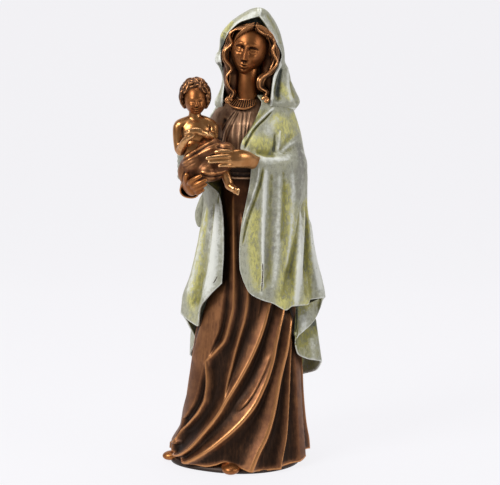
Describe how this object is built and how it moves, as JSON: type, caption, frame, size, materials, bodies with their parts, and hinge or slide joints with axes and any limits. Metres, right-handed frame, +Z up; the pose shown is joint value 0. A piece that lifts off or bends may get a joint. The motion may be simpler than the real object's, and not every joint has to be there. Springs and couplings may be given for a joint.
{
  "type": "virgin and child statue",
  "caption": "Cast bronze statue of a standing mother in a long gown, hooded mantle and shoes, holding a child on her right arm, made in one piece to stand on its own base.",
  "frame": {"origin": "middle of the statue's bounding box at the height of the surface that it stands on", "axes": "+Z up, -Y towards the viewer that the figure faces, +X to that viewer's right"},
  "size_m": [0.2168, 0.1938, 0.6021],
  "materials": {
    "brown_bronze": "brown patinated bronze rubbed bright on the crests"
  },
  "bodies": {
    "root": {"statue": "brown_bronze"}
  },
  "joints": []
}
